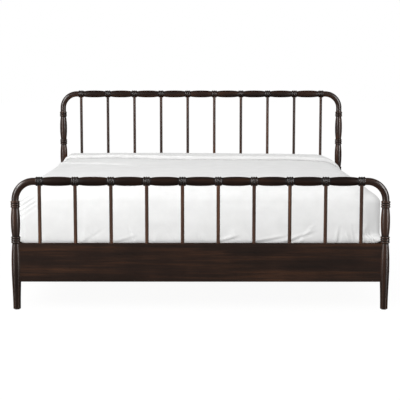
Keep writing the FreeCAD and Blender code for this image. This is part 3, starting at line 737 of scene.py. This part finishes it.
def tuck_creases(form, across, up):
    """Creases that rise from the tucked hem: those the photo shows, and others all round."""
    height = np.zeros(len(across))
    for place, lean, tall, raised in FRONT_TUCKS:
        start = (place, TUCK_BASE)
        height += crease(across, up, start, (place + lean, TUCK_BASE + tall), TUCK_WIDTH, raised)
    rolls = random.Random(CREASE_SEED)
    reach = 2 * form.half.sum()
    place = -reach
    while place < reach:
        place += rolls.uniform(*HEM_SPACING)
        tall = rolls.uniform(*HEM_HEIGHT)
        end = (place + rolls.uniform(*HEM_SLANT) * tall, TUCK_BASE + tall)
        size = rolls.uniform(*HEM_WIDTH), rolls.uniform(*HEM_RAISE)
        height += crease(across, up, (place, TUCK_BASE), end, *size)
    return height


def corner_creases(form, across, up):
    """Short slanting creases where the cover turns the left front corner."""
    left = -form.half[0]
    height = np.zeros(len(across))
    for i in range(CORNER_CREASES):
        low = CORNER_CREASE_FROM + CORNER_CREASE_STEP * i
        end = (left + CORNER_CREASE_ACROSS, low + CORNER_CREASE_UP)
        height += crease(across, up, (left, low), end, TUCK_WIDTH, CORNER_CREASE_RAISE)
    return height


def top_ripples(x, y):
    """Long low ripples across the bed, mostly on its left, where the cover was pulled up."""
    rolls = random.Random(CREASE_SEED + 1)
    height = crease(
        x, y, LONG_RIPPLE_START, LONG_RIPPLE_END, LONG_RIPPLE_WIDTH, LONG_RIPPLE_RAISE
    )
    for _ in range(TOP_RIPPLES):
        start = (rolls.uniform(*RIPPLE_X), rolls.uniform(*RIPPLE_Y))
        end = (start[0] + rolls.uniform(*RIPPLE_ACROSS), start[1] + rolls.uniform(*RIPPLE_ALONG))
        height += crease(x, y, start, end, rolls.uniform(*RIPPLE_WIDTH), rolls.uniform(*RIPPLE_RAISE))
    return height


def limited(height, low, high):
    """Heights that level off softly before they go below -low or above high."""
    return np.where(height > 0, high * np.tanh(height / high), low * np.tanh(height / low))


def wall_belly(height, beside, rail_top):
    """How far the cover's walls stand out at each height: little at the ends, more at the sides."""
    out = smooth_step(BELLY_LOW, BELLY_HIGH, height)
    drawn = smooth_step(END_DRAW_LOW, END_DRAW_HIGH, height)
    end_belly = END_FULLNESS * (2 * (out - drawn) - 1)
    over_rail = smooth_step(rail_top - RAIL_COVER / 2, rail_top + RAIL_COVER / 2, height)
    side_belly = SIDE_FULLNESS * over_rail * (1 - smooth_step(SIDE_FADE_LOW, SIDE_FADE_HIGH, height))
    return end_belly + (side_belly - end_belly) * beside


def cover_points(form, hem, box_points):
    """The main part of the cover: bellied sides, a tucked hem, creases and ripples."""
    place, normal = form.surface(box_points)
    height = place[:, 2]
    on_top = smooth_step(*TOP_TURN, normal[:, 2])
    beside = smooth_step(*SIDE_TURN, normal[:, 0] ** 2)
    rail_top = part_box("left_side_rail")[1].z
    drawn_below = DRAW_TOP + (rail_top + RAIL_COVER - DRAW_TOP) * beside
    hung = smooth_step(hem, drawn_below, height)
    belly = hung * wall_belly(height, beside, rail_top)
    across, up = form.hem_place(box_points), box_points[:, 2]
    creases = tuck_creases(form, across, up) + corner_creases(form, across, up)
    walls = belly + creases * hung + WALL_WAVE * wander(place, WALL_SWINGS)
    top = top_ripples(place[:, 0], place[:, 1]) + TOP_WAVE * wander(place, TOP_SWINGS, TOP_SHIFT)
    room = END_ROOM + (SIDE_ROOM - END_ROOM) * beside
    room += (TOP_ROOM - room) * on_top
    hollow = TUCK_ROOM + (HOLLOW_ROOM - TUCK_ROOM) * smooth_step(BELLY_LOW, HOLLOW_TOP, height)
    raised = limited((1 - on_top) * walls + on_top * top, hollow, room)
    place[:, :2] -= HEM_DRAW * (1 - hung)[:, None] * normal[:, :2]
    return place + normal * raised[:, None]


def turn_back_front():
    """Where the turned-back part of the built cover begins: its widest points nearest the foot."""
    points = np.array([v.co for v in frame["nodes"]["bed_cover"].data.vertices])
    return points[points[:, 0] > points[:, 0].max() - TINY, 1].min()


def fold_rows(rise, length):
    """(distance behind the front, share of the full rise, share of the length) for each row."""
    rolled = [-math.pi / 2 + math.pi * i / (ROLL_ROWS - 1) for i in range(ROLL_ROWS)]
    rows = [(FOLD_UNDER, 0.0, 0.0), (FOLD_UNDER / 2, 0.0, 0.0)]
    rows += [(rise / 2 * (1 - math.cos(a)), 0.5 + 0.5 * math.sin(a), 0.0) for a in rolled]
    return rows + [(rise / 2, 1.0, share) for share in steps(0.0, 1.0, COVER_STEPS[1] / length)[1:]]


def turn_back(form):
    """The cover's head end turned back: a rolled front, a puffed top, and sides that close on it."""
    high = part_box("bed_cover")[1]
    rise = high.z - form.top - CROWN_RISE
    side_rise = high.x - form.half[0]
    hem = form.top + CROWN_RISE - TURN_BACK_DROP
    front = turn_back_front()
    rows = np.array(fold_rows(rise, form.half[1] - front))
    grid, faces = box_mesh(
        steps(-form.half[0], form.half[0], COVER_STEPS[0]),
        range(len(rows)),
        np.r_[hem, hem + side_rise, steps(hem + 2 * side_rise, form.top, COVER_STEPS[2])],
        ("top", "left", "right", "back"),
    )
    ahead, lift, share = rows[np.round(grid[:, 1]).astype(int)].T
    across = grid[:, 0]
    edge = front + FOLD_SETBACK * smooth_step(*FOLD_SETBACK_RUN, -across)
    edge += FOLD_WAVE * wander(grid[:, [X, Z, X]], FOLD_SWINGS, FOLD_SHIFT)
    y = (edge + ahead) * (1 - share) + form.half[1] * share
    base, normal = form.surface(np.column_stack((across, y, grid[:, 2])))
    upward = np.clip(normal[:, 2], 0, 1) ** PUFF_POWER
    flat = np.where(np.abs(normal[:, 1]) > np.abs(normal[:, 0]), END_ROOM, side_rise)
    puff = rise * FOLD_FULLNESS * (1 - FOLD_LEAN * share * across / form.half[0])
    puff *= 1 + PUFF_WAVE * wander(base, PUFF_SWINGS, PUFF_SHIFT)
    thick = (flat + (puff - flat) * upward) * lift * (grid[:, 2] > hem + TINY)
    return base + normal * (TINY + thick)[:, None], faces


def soft_piece(name, mesh, material, slot, body, *nodes):
    """A smooth piece that stands for CAD nodes on one body."""
    piece = mesh_object(name, *mesh)
    piece.data.polygons.foreach_set("use_smooth", [True] * len(piece.data.polygons))
    paint(piece, material)
    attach(piece, body)
    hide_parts(*nodes)
    return piece


def make_cover():
    form = SoftForm(COVER_SKIN, LEFT_EDGE_RADIUS, FULL_CORNER_POWER)
    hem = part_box("bed_cover")[0].z
    box_points, faces = box_mesh(
        steps(-form.half[0], form.half[0], COVER_STEPS[0]),
        steps(-form.half[1], form.half[1], COVER_STEPS[1]),
        steps(hem, form.top, COVER_STEPS[2]),
        ("top", "left", "right", "front", "back"),
    )
    points = cover_points(form, hem, box_points)
    material = cotton("white_cover", COVER_COLOUR, COVER_WEAVE)
    mesh = joined((points, faces), turn_back(form))
    cover = soft_piece("white_bed_cover", mesh, material, "white_cover", "mattress", "bed_cover")
    cover.visible_glossy = False


# The mattress and the foundations under the cover


def make_padded(piece):
    """Subdivides a pad's mesh once."""
    finer = piece.modifiers.new("finer", "SUBSURF")
    finer.levels = 1
    finer.render_levels = 1


def make_mattress():
    """A soft-edged mattress, drawn in at the bottom, with a taped bottom edge."""
    form = SoftForm(0.0)
    low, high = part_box("mattress")
    box_points, faces = box_mesh(
        steps(low.x, high.x, PAD_STEP),
        steps(low.y, high.y, PAD_STEP),
        steps(low.z, form.top, PAD_STEP),
        ALL_FACES,
    )
    points = rounded_plan(box_points, form.half, EDGE_RADIUS, CORNER_POWER)
    raised = box_points[:, 2] > low.z + TINY
    points[raised] = form.surface(box_points[raised])[0]
    drawn = BOTTOM_DRAW * (1 - smooth_step(low.z, low.z + BOTTOM_RISE, points[:, 2]))
    points[:, :2] *= 1 - drawn[:, None] / form.half
    rim = form.half - BOTTOM_DRAW - PIPING_RADIUS
    tape = rounded_plan(outline(-rim, rim, low.z + PIPING_RADIUS), rim, EDGE_RADIUS, CORNER_POWER)
    mesh = joined((points, faces), piping(tape))
    material = cotton("mattress_ticking", TICKING_COLOUR, TICKING_WEAVE)
    piece = soft_piece("quilted_mattress", mesh, material, "mattress_ticking", "mattress", "mattress")
    make_padded(piece)


def make_foundation(side, material):
    """One half of the split foundation: an upholstered box with piped top and bottom edges."""
    node = f"{side}_foundation"
    low, high = (np.array(corner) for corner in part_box(node))
    half = np.maximum(np.abs(low), np.abs(high))[:2]
    grid = [eased_steps(a, b, PAD_STEP) for a, b in zip(low, high)]
    box_points, faces = box_mesh(*grid, ALL_FACES)
    points = rounded_plan(eased(box_points, low, high), half, FOUNDATION_CORNER, power=2)
    cords = []
    for z in (low[2] + PIPING_RADIUS, high[2] - PIPING_RADIUS):
        loop = outline(low + PIPING_RADIUS, high - PIPING_RADIUS, z)
        cords.append(piping(rounded_plan(loop, half - PIPING_RADIUS, FOUNDATION_CORNER, power=2)))
    mesh = joined((points, faces), *cords)
    piece = soft_piece(f"{side}_foundation_box", mesh, material, "foundation_cloth", "frame", node)
    make_padded(piece)


def make_foundations():
    material = cotton("foundation_cloth", FOUNDATION_COLOUR, FOUNDATION_WEAVE)
    for side in SIDES:
        make_foundation(side, material)


# Stage


def make_floor():
    """A plain white floor that only the camera sees, with a faint shadow."""
    corners = [(-1, -1), (1, -1), (1, 1), (-1, 1)]
    vertices = [(x * FLOOR_REACH, y * FLOOR_REACH, 0) for x, y in corners]
    floor = mesh_object("floor", vertices, [(0, 1, 2, 3)])
    shader = Shader("floor")
    shader.set(
        Base_Color=(FLOOR_GREY, FLOOR_GREY, FLOOR_GREY, 1.0),
        Roughness=0.9,
        Specular_IOR_Level=0.0,
        Emission_Color=(1.0, 1.0, 1.0, 1.0),
        Emission_Strength=FLOOR_GLOW,
    )
    paint(floor, shader.material)
    floor.visible_diffuse = False
    floor.visible_glossy = False
    floor.visible_shadow = False


def make_world():
    """White to the camera; as light, a soft gradient that is brighter to the front, left and top."""
    world = bpy.data.worlds.new("studio")
    bpy.context.scene.world = world
    world.use_nodes = True
    nodes, links = world.node_tree.nodes, world.node_tree.links
    slope = nodes.new("ShaderNodeVectorMath")
    slope.operation = "DOT_PRODUCT"
    slope.inputs[1].default_value = STUDIO_SLOPE
    links.new(nodes.new("ShaderNodeTexCoord").outputs["Generated"], slope.inputs[0])
    level = nodes.new("ShaderNodeMath")
    level.operation = "ADD"
    level.inputs[1].default_value = STUDIO_LEVEL
    links.new(slope.outputs["Value"], level.inputs[0])
    level.use_clamp = True
    lighting = nodes["Background"]
    lighting.inputs["Color"].default_value = (1.0, 1.0, 1.0, 1.0)
    links.new(level.outputs["Value"], lighting.inputs["Strength"])
    seen = nodes.new("ShaderNodeBackground")
    seen.inputs["Color"].default_value = (1.0, 1.0, 1.0, 1.0)
    mix = nodes.new("ShaderNodeMixShader")
    links.new(nodes.new("ShaderNodeLightPath").outputs["Is Camera Ray"], mix.inputs["Fac"])
    links.new(lighting.outputs["Background"], mix.inputs[1])
    links.new(seen.outputs["Background"], mix.inputs[2])
    links.new(mix.outputs["Shader"], nodes["World Output"].inputs["Surface"])
    world.cycles_visibility.glossy = False


def make_softbox(name, azimuth_deg, height, distance, size, watts, gloss_only=True):
    """A rectangular soft light aimed at the bed; azimuth 0 is at the foot and 90 on the right."""
    azimuth = math.radians(azimuth_deg)
    place = Vector((math.sin(azimuth) * distance, -math.cos(azimuth) * distance, height))
    data = bpy.data.lights.new(name, "AREA")
    data.shape = "RECTANGLE"
    data.size, data.size_y = size
    data.energy = watts
    light = link(bpy.data.objects.new(name, data))
    light.location = place
    aim = Vector((0.0, 0.0, height)) if gloss_only else Vector(KEY_AIM)
    light.rotation_euler = (aim - place).to_track_quat("-Z", "Y").to_euler()
    light.visible_camera = False
    light.visible_diffuse = not gloss_only
    light.visible_glossy = gloss_only


def make_lights():
    """A key light, and on each side a low strip, a high strip and a light for the bends."""
    make_softbox(
        "key", KEY_AZIMUTH_DEG, KEY_HEIGHT, KEY_DISTANCE, KEY_SIZE, KEY_WATTS, gloss_only=False
    )
    for side, azimuth in zip(SIDES, (-GLOSS_AZIMUTH_DEG, GLOSS_AZIMUTH_DEG)):
        strip, bend = STRIP_SHARE[side], BEND_LIGHT_SHARE[side]
        for name, turn, height, size, watts in (
            ("low_strip", 1.0, LOW_STRIP_HEIGHT, LOW_STRIP_SIZE, LOW_STRIP_WATTS * strip),
            ("high_strip", 1.0, HIGH_STRIP_HEIGHT, HIGH_STRIP_SIZE, HIGH_STRIP_WATTS * strip),
            ("bend_light", BEND_LIGHT_TURN, BEND_LIGHT_HEIGHT, BEND_LIGHT_SIZE, BEND_LIGHT_WATTS * bend),
        ):
            make_softbox(f"{name}_{side}", turn * azimuth, height, GLOSS_DISTANCE, size, watts)


def clear_foot_shadows():
    """Lets the studio light past the bars of the foot end, so they leave no shadow on the bedding."""
    for name, node in frame["nodes"].items():
        if name.startswith("foot_") and not name.endswith("_panel"):
            node.visible_shadow = False
            node.visible_diffuse = False


def make_camera():
    data = bpy.data.cameras.new("camera")
    data.lens = CAMERA_LENS_MM
    data.sensor_width = CAMERA_SENSOR_MM
    camera = link(bpy.data.objects.new("camera", data))
    camera.location = CAMERA_PLACE
    camera.rotation_euler = (
        math.radians(90 - CAMERA_PITCH_DEG), 0.0, math.radians(CAMERA_YAW_DEG)
    )
    bpy.context.scene.camera = camera


make_camera()
paint_rigid_parts()
make_foundations()
make_mattress()
make_cover()
make_floor()
make_world()
make_lights()
clear_foot_shadows()
bpy.context.scene.view_settings.view_transform = "Standard"
